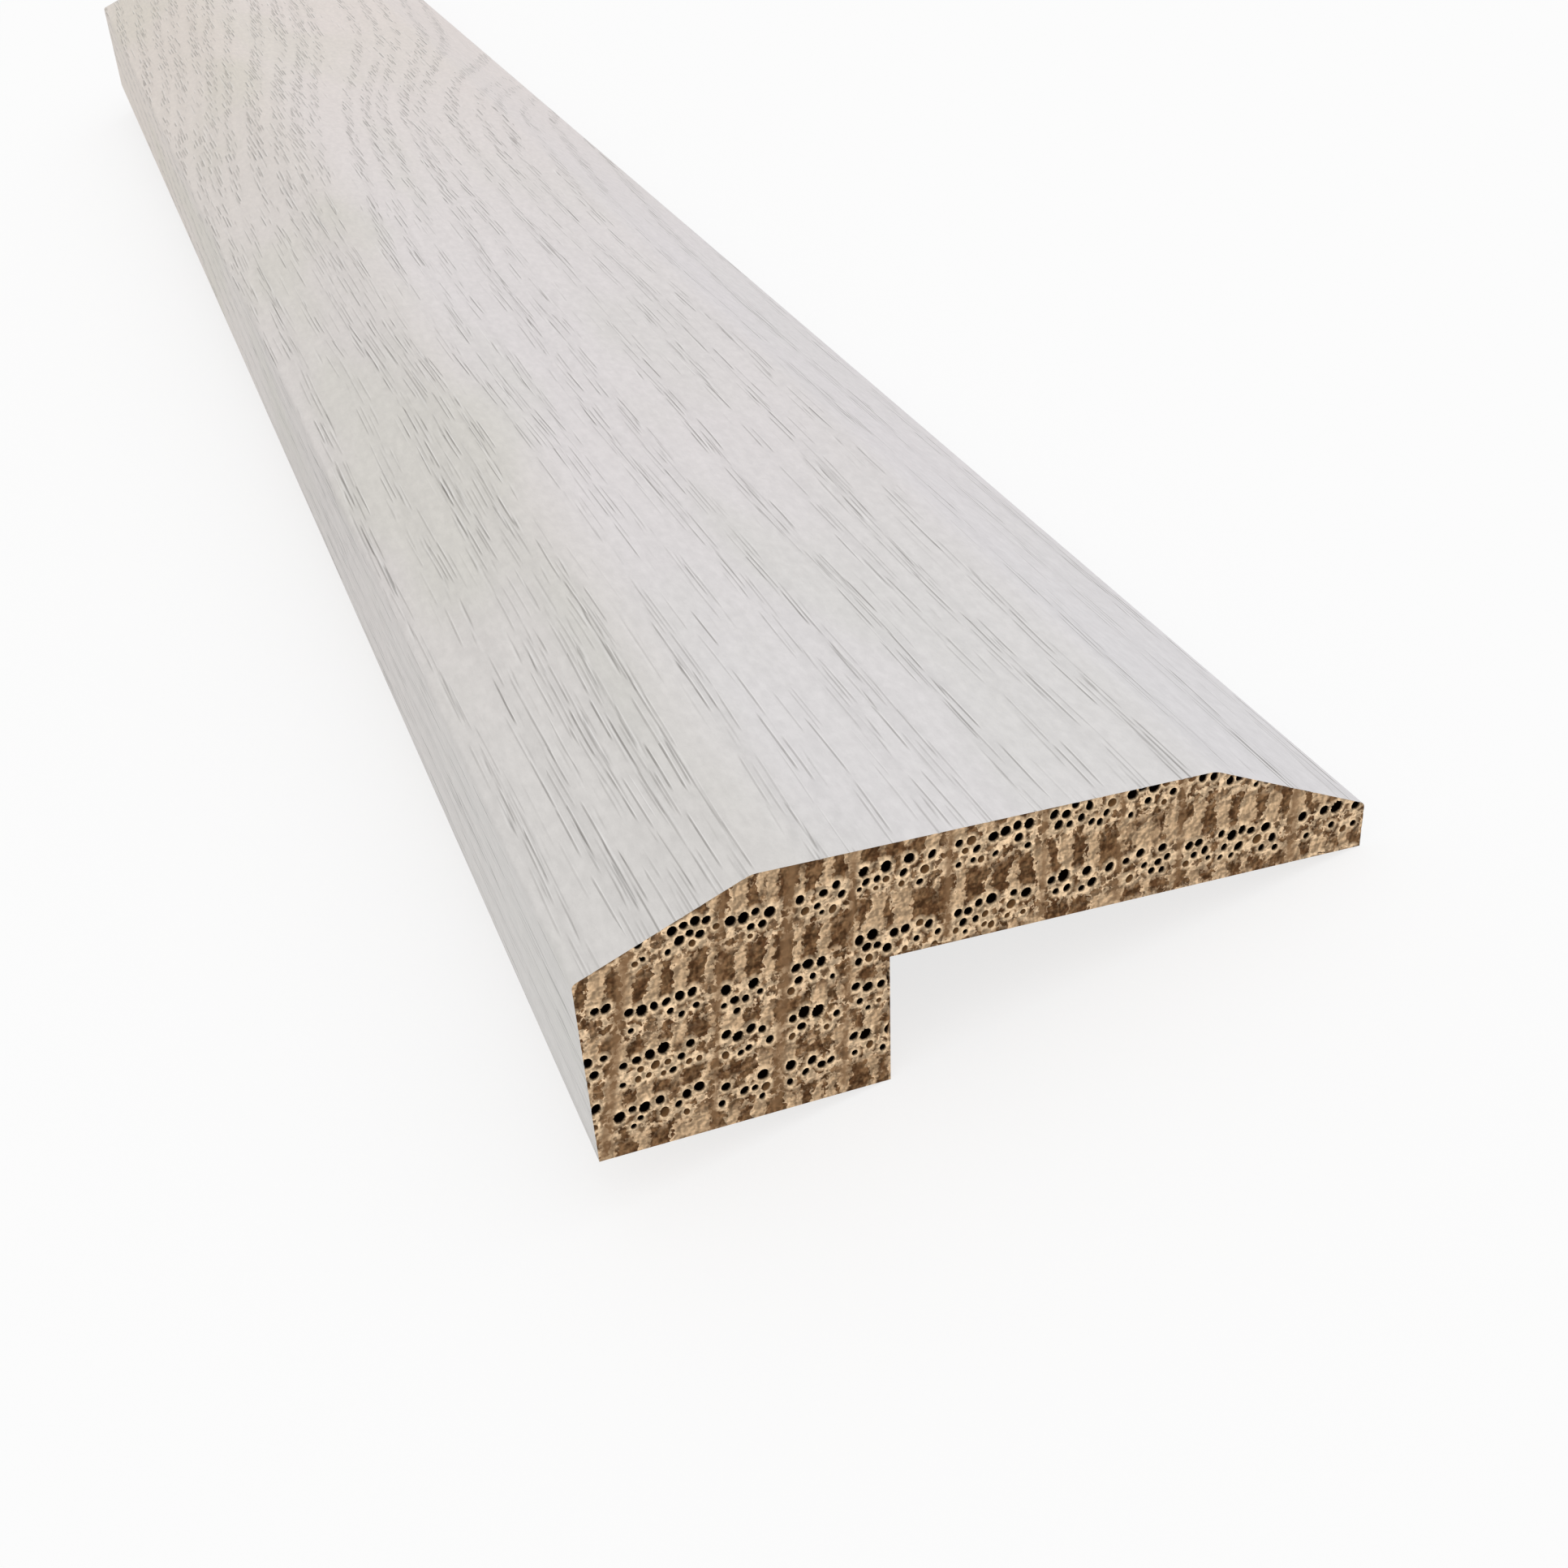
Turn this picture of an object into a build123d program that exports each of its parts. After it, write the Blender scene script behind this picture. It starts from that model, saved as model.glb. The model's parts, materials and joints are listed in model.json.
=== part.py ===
from build123d import *
import os
from math import atan2, degrees

# Solid oak floor threshold: a moulded strip with a foot, an overlapping lip and a bevelled crown.
#
# Millimetres. The length runs along Y, the lip points to +X and Z is up. The strip is stored as it
# lies unheld on a level floor: its centre of mass is past the foot, so it rocks over the inner edge
# of the sole and rests on that edge and on the toe of the lip. The origin is at the floor, under
# the middle of the strip.

# Length of the strip between its two square-sawn ends
LENGTH = 304.8

# Widths across the section: the foot, then the lip that reaches over the floor boards
FOOT_WIDTH = 19.05
LIP_REACH = 31.75

# Heights, one on top of the other: rabbet under the lip, square edge, bevel up to the crown
RABBET_DEPTH = 9.7
EDGE_THICKNESS = 3.1
CROWN_RISE = 4.7

# Run of each bevel, from the square edge in to the flat of the crown
BEVEL_RUN = 10.75

# Relief of the foot: the side leans in towards the sole, and the sole lifts towards the rabbet
SIDE_UNDERCUT = 0.65
SOLE_RELIEF = 0.65

# Rounded arrises: where the bevels meet the crown, and along the two upper outer edges
CROWN_RADIUS = 2.0
EDGE_RADIUS = 0.4


def section():
    """The moulded section, standing on the toe of its sole, as a face in the XZ plane."""
    width = FOOT_WIDTH + LIP_REACH
    edge_height = RABBET_DEPTH + EDGE_THICKNESS
    crown_height = edge_height + CROWN_RISE
    outline = [
        (SIDE_UNDERCUT, 0),
        (FOOT_WIDTH, SOLE_RELIEF),
        (FOOT_WIDTH, RABBET_DEPTH),
        (width, RABBET_DEPTH),
        (width, edge_height),
        (width - BEVEL_RUN, crown_height),
        (BEVEL_RUN, crown_height),
        (0, edge_height),
    ]
    with BuildSketch(Plane.XZ) as sketch:
        with BuildLine():
            Polyline(*outline, close=True)
        make_face()
        upper_edges = sketch.vertices().group_by(Axis.Y)[-2]
        fillet(upper_edges, EDGE_RADIUS)
        crown_arrises = sketch.vertices().group_by(Axis.Y)[-1]
        fillet(crown_arrises, CROWN_RADIUS)
    return sketch.sketch


def strip():
    """The section carried along the whole length, with both ends sawn square."""
    return extrude(section(), amount=LENGTH / 2, both=True)


def at_rest(solid):
    """Tips the strip until the inner edge of the sole and the toe of the lip share the floor."""
    tilt = degrees(atan2(RABBET_DEPTH - SOLE_RELIEF, LIP_REACH))
    tipped = Rot(0, tilt, 0) * solid
    box = tipped.bounding_box()
    return Pos(-box.center().X, -box.center().Y, -box.min.Z) * tipped


os.makedirs("parts", exist_ok=True)
export_step(at_rest(strip()), "parts/threshold_strip.step")
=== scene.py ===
import bpy
import json
import numpy as np
from mathutils import Matrix, Vector
from mathutils.geometry import delaunay_2d_cdt


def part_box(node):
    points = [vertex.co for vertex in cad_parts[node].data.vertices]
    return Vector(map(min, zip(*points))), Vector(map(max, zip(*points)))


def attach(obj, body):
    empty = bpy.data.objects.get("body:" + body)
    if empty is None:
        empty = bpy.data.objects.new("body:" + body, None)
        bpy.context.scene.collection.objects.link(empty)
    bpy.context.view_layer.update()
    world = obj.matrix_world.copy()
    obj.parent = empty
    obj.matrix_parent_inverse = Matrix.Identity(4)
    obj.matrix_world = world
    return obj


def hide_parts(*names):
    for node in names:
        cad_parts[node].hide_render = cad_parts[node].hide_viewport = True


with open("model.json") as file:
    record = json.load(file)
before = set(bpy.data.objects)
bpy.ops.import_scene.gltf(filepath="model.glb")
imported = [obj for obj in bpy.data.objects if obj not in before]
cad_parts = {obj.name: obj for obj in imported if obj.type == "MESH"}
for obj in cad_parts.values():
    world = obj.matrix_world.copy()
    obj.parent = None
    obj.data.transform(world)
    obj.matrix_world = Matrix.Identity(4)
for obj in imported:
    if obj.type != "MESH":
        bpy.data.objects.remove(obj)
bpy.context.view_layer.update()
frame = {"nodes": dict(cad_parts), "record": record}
print("frame loaded:", sorted(frame["nodes"]))

mm = 0.001

# The moulded section, in mm: q runs across from the outer side, h up from the toe of the sole
section = dict(
    footWidth=19.05, lipReach=31.75,
    rabbetDepth=9.7, edgeThickness=3.1, crownRise=4.7,
    bevelRun=10.75, sideUndercut=0.65, soleRelief=0.65,
    crownRadius=2.0, edgeRadius=0.4, arcSteps=8,
)
stripWidth = section["footWidth"] + section["lipReach"]
edgeHeight = section["rabbetDepth"] + section["edgeThickness"]
crownHeight = edgeHeight + section["crownRise"]
midHeight = edgeHeight / 2

# Where the section lies in the frame: the middle of the lip's underside and the way it faces
lipMount = next(m for m in frame["record"]["mounts"] if m["name"] == "lip_underside")
upAxis = -np.array(lipMount["axis"])
acrossAxis = np.array([upAxis[2], 0.0, -upAxis[0]])
alongAxis = np.array([0.0, 1.0, 0.0])
lipMiddle = np.array([section["footWidth"] + section["lipReach"] / 2, section["rabbetDepth"]])
boxLow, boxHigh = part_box("threshold_strip")
stripLength = (boxHigh.y - boxLow.y) / mm
sectionOrigin = np.array(lipMount["pos_m"]) - (acrossAxis * lipMiddle[0] + upAxis * lipMiddle[1]) * mm
sectionOrigin[1] = boxLow.y


# Section place (q across, t from the near end, h up, all mm) to metres in the frame
def inFrame(q, t, h):
    q, t, h = np.broadcast_arrays(q, t, h)
    return sectionOrigin + mm * (q[..., None] * acrossAxis + t[..., None] * alongAxis + h[..., None] * upAxis)


# sRGB 0 to 255 as a linear colour
def tone(r, g, b):
    shade = np.array([r, g, b]) / 255
    linear = np.where(shade <= 0.04045, shade / 12.92, ((shade + 0.055) / 1.055) ** 2.4)
    return (*linear.tolist(), 1.0)


# Eased share of the way from low to high: three times its square less twice its cube
def smoothStep(low, high, x):
    s = np.clip((x - low) / (high - low), 0, 1)
    return s * s * (3 - 2 * s)


# Round the corners of an outline: each corner gives way to an arc that touches both of its sides,
# at a distance of radius times the tangent of half the turn
def roundedPath(corners, radii, arcSteps):
    points = []
    for i, (corner, radius) in enumerate(zip(corners, radii)):
        corner = np.array(corner)
        before = np.array(corners[i - 1]) - corner
        after = np.array(corners[(i + 1) % len(corners)]) - corner
        before, after = before / np.linalg.norm(before), after / np.linalg.norm(after)
        if radius == 0:
            points.append(corner[None])
            continue
        half = np.arccos(np.clip(before @ after, -1, 1)) / 2
        bisector = (before + after) / np.linalg.norm(before + after)
        centre = corner + bisector * radius / np.sin(half)
        start, end = corner + before * radius / np.tan(half), corner + after * radius / np.tan(half)
        share = np.linspace(0, 1, arcSteps)[:, None]
        chord = start * (1 - share) + end * share - centre
        points.append(centre + radius * chord / np.linalg.norm(chord, axis=1, keepdims=True))
    return np.concatenate(points)


# Path round the section: up the outer side, over the bevels and the crown and down the lip's edge,
# which all show, then under the lip and down the rabbet
edgeR, crownR = section["edgeRadius"], section["crownRadius"]
outline = [
    (section["sideUndercut"], 0.0),
    (0.0, edgeHeight),
    (section["bevelRun"], crownHeight),
    (stripWidth - section["bevelRun"], crownHeight),
    (stripWidth, edgeHeight),
    (stripWidth, section["rabbetDepth"]),
    (section["footWidth"], section["rabbetDepth"]),
    (section["footWidth"], section["soleRelief"]),
]
path = roundedPath(outline, [0, edgeR, crownR, crownR, edgeR, 0, 0, 0], section["arcSteps"])
pathLength = np.concatenate([[0], np.cumsum(np.linalg.norm(np.diff(path, axis=0), axis=1))])
hiddenStart = len(path) - 3  # the lip's lower edge, where the wash ends
showLength = pathLength[hiddenStart]


# Even steps from low to high, near a given step, without the last point
def evenSteps(low, high, step):
    return np.linspace(low, high, max(2, round((high - low) / step)), endpoint=False)


# The washed faces, in mm: columns across, finest on the upper faces, and rows along, closer to the far end
washedGrid = dict(
    upperStep=0.15, sideStep=0.19, nearRowStep=2.6, farRowStep=1.9, hiddenStep=2.2,
    stagger=0.45, seed=3,
)
upperLow, upperHigh = pathLength[1], pathLength[hiddenStart - 1]
showV = np.concatenate([
    evenSteps(0, upperLow, washedGrid["sideStep"]),
    evenSteps(upperLow, upperHigh, washedGrid["upperStep"]),
    evenSteps(upperHigh, showLength, washedGrid["sideStep"]),
    [showLength],
])
nearRow, farRow = washedGrid["nearRowStep"], washedGrid["farRowStep"]
rowSteps = np.linspace(nearRow, farRow, round(2 * stripLength / (nearRow + farRow)))
rowT = np.concatenate([[0], np.cumsum(rowSteps)]) * stripLength / rowSteps.sum()
showColumns, rowCount = len(showV), len(rowT)

# Each column's rows are moved along by its own part of a step, so that pores side by side don't end in line
rowShift = np.gradient(rowT) * washedGrid["stagger"]
rowShift[[0, -1]] = 0
columnShift = np.random.default_rng(washedGrid["seed"]).uniform(-1, 1, showColumns)
gridT = rowT[:, None] + rowShift[:, None] * columnShift

# Ring bands of the oak under the wash, each with its place at the near end, half width and pores for each mm.
# From half way along they drift towards the lip, and their pores get shorter and closer
washedGrain = dict(
    seed=11,
    bands=[(-14, 0.4, 0.3), (-10.5, 0.4, 0.3), (-7, 0.4, 0.3), (-3.5, 0.4, 0.3), (0.2, 0.4, 0.3),
           (3.4, 0.4, 0.2), (6.2, 0.6, 0.4), (9.2, 0.4, 0.2), (11.4, 0.6, 0.4), (14.0, 0.3, 0.25),
           (17.6, 0.7, 0.5), (20.6, 0.6, 0.4), (22.8, 0.6, 0.4), (24.7, 0.3, 0.3), (28.7, 0.25, 0.25),
           (31.0, 0.25, 0.2), (33.1, 0.3, 0.25), (36.4, 0.5, 0.3), (38.8, 0.5, 0.3), (42.8, 0.4, 0.2),
           (46.4, 0.35, 0.2), (48.7, 0.35, 0.25), (51.9, 0.25, 0.25), (55.6, 0.4, 0.2), (60.0, 0.4, 0.2),
           (64.2, 0.4, 0.2), (67.5, 0.4, 0.2)],
    slant=0.1, slantStart=130.0, slantEase=14.0,
    slipPlaces=[6, 20, 25, 30, 35, 41, 46], slipAmounts=[2.3, 2.5, 3.7, 6.7, 8.3, 11.4, 15.0],
    slipStart=180.0, slipEnd=246.0,
    sway=0.6, swayLength=27.0, swayTurn=0.23, swayStart=20.0, swayEnd=60.0,
    shortenStart=110.0, shortenEnd=205.0, knotStep=14.0,
    crowdFactor=1.5, farCrowd=0.2, leastCrowd=0.2, strayPores=500, overhang=4.0,
    poreLength=3.7, lengthSpread=0.45, poreDepth=0.05, leastDepth=0.4, laneColumns=2,
    leastDark=0.45, faintest=0.1, darkRange=0.55, darkPower=1.5, tonePast=2.5, shadeBoxes=[(2, 5), (2, 4)],
    bandSpread=0.8, bandLeast=0.45, nearPresence=(0.3, 0.8), farPresence=(0.55, 0.7),
    dashWidth=0.36, nearDash=8.4, farDash=4.8,
)
bandPlace, bandHalf, bandCrowd = (np.array(column) for column in zip(*washedGrain["bands"]))


# How far a band that starts at v has drifted towards the lip by t: a slant that sets in half way along,
# plus a slip that is read between the given places and eases in further on, plus a slow sway
def bandDrift(v, t):
    g = washedGrain
    slant = g["slant"] * g["slantEase"] * np.logaddexp(0, (t - g["slantStart"]) / g["slantEase"])
    slip = np.interp(v, g["slipPlaces"], g["slipAmounts"]) * smoothStep(g["slipStart"], g["slipEnd"], t)
    swayShare = smoothStep(g["swayStart"], g["swayEnd"], t)
    return slant + slip + g["sway"] * np.sin(t / g["swayLength"] + v * g["swayTurn"]) * swayShare


# How far the pores at t have shortened, 0 to 1
def shortening(t):
    return smoothStep(washedGrain["shortenStart"], washedGrain["shortenEnd"], t)


# Strength of each band along t, 0 to 1: random values at knots, eased from knot to knot
def bandStrength(knots, band, t):
    place = np.clip(t / washedGrain["knotStep"] + 1, 0, knots.shape[1] - 2)
    low = np.floor(place).astype(int)
    ease = smoothStep(0, 1, place - low)
    return knots[band, low] * (1 - ease) + knots[band, low + 1] * ease


# Mean over a box of columns and rows, from running sums with the edge values carried on
def boxMean(field, rows, columns):
    for axis, half in ((0, rows), (1, columns)):
        pad = [(0, 0), (0, 0)]
        pad[axis] = (half + 1, half)
        total = np.cumsum(np.pad(field, pad, mode="edge"), axis=axis)
        count = field.shape[axis]
        high = np.take(total, np.arange(count) + 2 * half + 1, axis=axis)
        field = (high - np.take(total, np.arange(count), axis=axis)) / (2 * half + 1)
    return field


# Pores by chance: most lie about the drifting middle of a band, more of them and darker where it is strong,
# and some stray. Gives each one's column, place along, darkness, length and the side of its painted highlight
# streak
def drawPores():
    g = washedGrain
    rng = np.random.default_rng(g["seed"])
    counts = (bandCrowd * g["crowdFactor"] * stripLength).astype(int)
    band = np.repeat(np.arange(len(bandPlace)), counts)
    low, high = -g["overhang"], stripLength + g["overhang"]
    t = rng.uniform(low, high, len(band))
    knots = rng.uniform(0, 1, (len(bandPlace), int(stripLength / g["knotStep"]) + 4))
    strength = bandStrength(knots, band, t)
    wanted = g["leastCrowd"] + (1 - g["leastCrowd"]) * strength
    keep = rng.uniform(0, 1, len(band)) < wanted * (1 + (g["farCrowd"] - 1) * shortening(t))
    band, t, strength = band[keep], t[keep], strength[keep]
    v = bandPlace[band] + bandDrift(bandPlace[band], t) + bandHalf[band] * rng.normal(0, 1, len(band))
    t = np.concatenate([t, rng.uniform(low, high, g["strayPores"])])
    v = np.concatenate([v, rng.uniform(0, showLength, g["strayPores"])])
    strength = np.concatenate([strength, np.zeros(g["strayPores"])])
    dark = g["faintest"] + g["darkRange"] * rng.uniform(0, 1, len(t)) ** g["darkPower"]
    dark = dark * (g["leastDark"] + (1 - g["leastDark"]) * strength)
    length = g["poreLength"] * np.exp(rng.normal(0, g["lengthSpread"], len(t)))
    glintSide = rng.choice([-1, 1], len(t))
    lane = np.rint(np.interp(v, showV, np.arange(showColumns)) / g["laneColumns"]).astype(int)
    column = lane * g["laneColumns"]
    keep = (column > 2) & (column < showColumns - 3)  # clear of both edges
    return [values[keep] for values in (column, t, dark, length, glintSide)], knots


# Marks of the pores on the grid. Each pore is a run of one column: its shape falls off as an ellipse from its
# middle to both ends, its darkness is the same all over it, and where pores meet the stronger one holds.
# The painted highlight streak lies in the column beside it, and the shade is the mean darkness round about
def poreFields(column, t, dark, length, glintSide):
    g = washedGrain
    reach = int(length.max() / 2 / washedGrid["farRowStep"]) + 2
    middleRow = np.rint(np.interp(t, rowT, np.arange(rowCount))).astype(int)
    rows = middleRow[:, None] + np.arange(-reach, reach + 1)
    onGrid = (rows >= 0) & (rows < rowCount)
    there = gridT[np.clip(rows, 0, rowCount - 1), column[:, None]]
    away = np.abs(there - t[:, None]) / (length[:, None] / 2)
    shape = np.sqrt(np.clip(1 - away**2, 0, 1))
    nearby = onGrid & (away < 1 + 2 * g["tonePast"] / length[:, None])
    wide = [np.broadcast_to(values[:, None], rows.shape) for values in (column, dark, glintSide)]
    columns, darks, sides = wide
    pore, poreTone, glint = np.zeros((3, rowCount, showColumns))
    np.maximum.at(pore, (rows[onGrid], columns[onGrid]), shape[onGrid])
    for side in (-1, 0, 1):
        np.maximum.at(poreTone, (rows[nearby], columns[nearby] + side), darks[nearby])
    # Painted highlight: a pale streak in the column beside each pore
    np.maximum.at(glint, (rows[onGrid], (columns + sides)[onGrid]), (shape * darks)[onGrid])
    shade = pore * poreTone
    for boxRows, boxColumns in g["shadeBoxes"]:
        shade = boxMean(shade, boxRows, boxColumns)
    return dict(pore=pore, poreTone=poreTone, glint=glint * (1 - pore), shade=shade)


# How much of a ring band there is at each grid point: the band's presence, which grows with its strength,
# times a flat-topped fall-off from its middle. The strongest band holds
def bandField(knots):
    g = washedGrain
    place, half = bandPlace[:, None, None], bandHalf[:, None, None]
    away = (showV - place - bandDrift(place, gridT)) / (g["bandSpread"] * half + g["bandLeast"])
    shorten = shortening(gridT)
    least, more = (near + (far - near) * shorten for near, far in zip(g["nearPresence"], g["farPresence"]))
    every = np.arange(len(bandPlace))[:, None, None]
    presence = least + more * bandStrength(knots, every, gridT[None])
    return (np.exp(-away**4) * presence).max(axis=0)


# Place along the strip counted in dashes: the running sum of one over the dash length, which shortens
def dashesAlong():
    g = washedGrain
    fineT = np.linspace(-1, stripLength + 1, 2000)
    dashLength = g["nearDash"] + (g["farDash"] - g["nearDash"]) * shortening(fineT)
    return np.interp(gridT, fineT, np.cumsum(1 / dashLength) * (fineT[1] - fineT[0]))


pores, bandKnots = drawPores()
washed = poreFields(*pores)
washed["band"] = bandField(bandKnots)
washed["along"] = dashesAlong()
print("pores:", len(pores[0]))

# Columns wander a little along the length, so that no pore is dead straight; they keep still at the corners.
# Each wave is (amount, length along, length across), in mm
columnWander = dict(waves=[(0.2, 21.0, 5.0), (0.07, 7.3, 2.6)], stillTo=0.6, freeFrom=2.5)
wander = sum(amount * np.sin(gridT / along + showV / across)
             for amount, along, across in columnWander["waves"])
stillPlaces = np.array([0, edgeHeight, upperHigh, showLength])
apart = np.abs(showV[:, None] - stillPlaces).min(axis=1)
gridV = showV[None] + wander * smoothStep(columnWander["stillTo"], columnWander["freeFrom"], apart)[None]
washed["around"] = np.broadcast_to(showV / washedGrain["dashWidth"], gridV.shape)

# Each grid point sinks from the path into the wood by its pore's depth, square to the path
showPath, showPathLength = path[:hiddenStart + 1], pathLength[:hiddenStart + 1]
probe = 0.05  # half the stretch of path that gives its direction, in mm


# The point of the show path at a distance v along it
def onPath(v):
    return [np.interp(v, showPathLength, showPath[:, i]) for i in (0, 1)]


run = [after - before for after, before in zip(onPath(gridV + probe), onPath(gridV - probe))]
leastDepth = washedGrain["leastDepth"]
depth = washedGrain["poreDepth"] * washed["pore"] * (leastDepth + (1 - leastDepth) * washed["poreTone"])
depth = depth / np.hypot(*run)
pathQ, pathH = onPath(gridV)
showQ = pathQ + depth * run[1]
showH = pathH - depth * run[0]

# Hidden faces: straight from corner to corner, under the lip, down the rabbet and along the sole
hiddenCorners = np.concatenate([path[hiddenStart:], path[:1]])
hiddenPoints = []
for start, end in zip(hiddenCorners[:-1], hiddenCorners[1:]):
    steps = max(2, round(np.linalg.norm(end - start) / washedGrid["hiddenStep"]))
    hiddenPoints.append(start + (end - start) * np.linspace(0, 1, steps + 1)[1:, None])
hiddenPoints = np.concatenate(hiddenPoints)[:-1]
ringSize = showColumns + len(hiddenPoints)
hiddenShape = (rowCount, len(hiddenPoints))
ringQ = np.concatenate([showQ, np.broadcast_to(hiddenPoints[:, 0], hiddenShape)], axis=1)
ringH = np.concatenate([showH, np.broadcast_to(hiddenPoints[:, 1], hiddenShape)], axis=1)
ringT = np.concatenate([gridT, np.broadcast_to(rowT[:, None], hiddenShape)], axis=1)
sideVertices = inFrame(ringQ, ringT, ringH).reshape(-1, 3)
print("washed grid:", rowCount, "rows,", showColumns, "columns,", len(hiddenPoints), "hidden columns")

# The sawn ends, in mm. Each ray is (q at mid height, width, lean). The ring lines step and tilt from cell to
# cell between the rays; under each line hang rows of vessels, most of the first row open, their pits painted
# black as shade
sawnGrain = dict(
    nearSeed=5, farSeed=17,
    rays=[(2.0, 0.6, 0.157), (8.2, 0.36, 0.08), (12.2, 0.62, 0.09), (16.3, 0.36, 0.06), (22.65, 0.42, 0.02),
          (28.9, 0.36, 0.0), (33.9, 0.36, 0.0), (37.95, 0.36, 0.0), (45.8, 0.5, 0.0)],
    rayEdge=(0.3, 0.75), rayStep=0.9, rayStart=0.3,
    rings=[3.4, 6.8, 10.2, 14.9],
    cellLift=[0.4, 0.0, -0.1, 0.3, 1.15, 1.7, 2.2, 2.55, 2.5, 2.7],
    cellTilt=[0.0, 0.13, 0.02, 0.13, 0.0, 0.07, 0.0, 0.06, 0.0, 0.03],
    earlyBelow=(-2.3, -1.5), earlyAbove=(0.25, 0.6),
    vesselSpacing=0.76, rowDrop=[0.0, 0.74, 1.34], rowRadius=[0.285, 0.24, 0.19],
    rowKeep=[0.98, 0.95, 0.85], rowOpen=[0.95, 0.75, 0.45],
    sideWall=0.2, leftMargin=0.36, rightMargin=0.3, acrossScatter=0.07, rowScatter=0.05, upScatter=0.13,
    sizes=(0.8, 1.2), stretches=(1.0, 1.4), turns=(-0.7, 0.1), pastEdge=0.15,
    crowdReach=1.05, crowdUp=1.2,
    pitDepth=0.8, pitSlope=0.9, pitEdge=(0.98, 1.09), filledDepth=0.3,
    # Painted shade of the pits: a little on a filled vessel, and a shadow crescent on its upper left
    filledDark=0.1, crescentDark=0.7, crescentEdge=(-0.15, 0.2),
    wallWidth=0.17, wallDepth=0.05, wallEdge=(0.45, 1.2),
    spokes=14, pitRings=(0.95, 1.12), wallRings=(0.75, 1.8), ringTurns=(0, 0, 0.5, 0),
    ownGround=1.18, clearGround=1.25, fill=0.6, fillScatter=0.15, edgeMargin=0.12, bevelMargin=1.1,
    mergeCell=0.025,
)
rayMiddles, rayWidths, rayLeans = (np.array(column) for column in zip(*sawnGrain["rays"]))
cellWalls = np.concatenate([[0], rayMiddles, [stripWidth]])


# Where the leaning line through a place crosses mid height: q less the lean there times the height over it
def uprightPlace(q, h):
    return q - np.interp(q, rayMiddles, rayLeans) * (h - midHeight)


# The ring line of a given base height at q: which cell q is in, then its lift, and its tilt about its middle
def ringHeight(base, q, h):
    upright = uprightPlace(q, h)
    cell = np.searchsorted(rayMiddles, upright)
    away = upright - (cellWalls[cell] + cellWalls[cell + 1]) / 2
    return base + np.array(sawnGrain["cellLift"])[cell] + np.array(sawnGrain["cellTilt"])[cell] * away


# Inside the section, at least margin from its outline: between its lower and upper lines and its two sides
def insideSection(q, h, margin):
    sole = section["soleRelief"] * q / section["footWidth"]
    lower = np.where(q < section["footWidth"] - margin, sole, section["rabbetDepth"])
    rise = section["crownRise"] / section["bevelRun"]
    upper = np.minimum(crownHeight, edgeHeight + rise * np.minimum(q, stripWidth - q))
    left = section["sideUndercut"] * (1 - h / edgeHeight)
    inHeight = (h > lower + margin) & (h < upper - sawnGrain["bevelMargin"] * margin)
    return inHeight & (q > left + margin) & (q < stripWidth - margin)


# Vessels of one end: even steps along each row and cell, shifted half a step in every other row, then
# scattered. One that crowds an earlier one is left out. Columns of the result: q, h, radius, open or filled,
# stretch up, turn
def vessels(rng):
    g = sawnGrain
    widths = np.concatenate([[g["sideWall"]], rayWidths, [g["sideWall"]]])
    made = []
    for base in g["rings"]:
        for cell, (lift, tilt) in enumerate(zip(g["cellLift"], g["cellTilt"])):
            left = cellWalls[cell] + widths[cell] / 2 + g["leftMargin"]
            right = cellWalls[cell + 1] - widths[cell + 1] / 2 - g["rightMargin"]
            middle = (cellWalls[cell] + cellWalls[cell + 1]) / 2
            for row, drop in enumerate(g["rowDrop"]):
                q = np.arange(left + (row % 2) * g["vesselSpacing"] / 2, right, g["vesselSpacing"])
                q = q + rng.normal(0, g["acrossScatter"] + g["rowScatter"] * row, len(q))
                h = base + lift + tilt * (q - middle) - drop + rng.normal(0, g["upScatter"], len(q))
                q = q + np.interp(q, rayMiddles, rayLeans) * (h - midHeight)
                radius = g["rowRadius"][row] * rng.uniform(*g["sizes"], len(q))
                isOpen = rng.uniform(0, 1, len(q)) < g["rowOpen"][row]
                stretch = rng.uniform(*g["stretches"], len(q))
                turn = rng.uniform(*g["turns"], len(q))
                kept = rng.uniform(0, 1, len(q)) < g["rowKeep"][row]
                made.append(np.stack([q, h, radius, isOpen, stretch, turn], axis=1)[kept])
    made = np.concatenate(made)
    made = made[insideSection(made[:, 0], made[:, 1], -g["pastEdge"])]
    dq, dh = (made[:, None, :2] - made[None, :, :2]).transpose(2, 0, 1)
    least = g["crowdReach"] * (made[:, None, 2] + made[None, :, 2]) + g["wallWidth"] / 2
    crowded = np.hypot(dq, dh / g["crowdUp"]) < least
    return made[~np.tril(crowded, -1).any(axis=1)]


# How far a point is into a ray, 0 to 1, by its distance from the ray's leaning middle line
def rayShare(points):
    share = np.zeros(len(points))
    inner, outer = sawnGrain["rayEdge"]
    for q, width, lean in sawnGrain["rays"]:
        away = np.abs(points[:, 0] - q - lean * (points[:, 1] - midHeight))
        share = np.maximum(share, 1 - smoothStep(width * inner, width * outer, away))
    return share


# How far a point is into the early wood, 0 to 1: from a little above the ring line to below the last vessels
def earlyShare(points):
    share = np.zeros(len(points))
    for base in sawnGrain["rings"]:
        above = points[:, 1] - ringHeight(base, points[:, 0], points[:, 1])
        inside = smoothStep(*sawnGrain["earlyBelow"], above)
        share = np.maximum(share, inside * (1 - smoothStep(*sawnGrain["earlyAbove"], above)))
    return share


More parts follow.
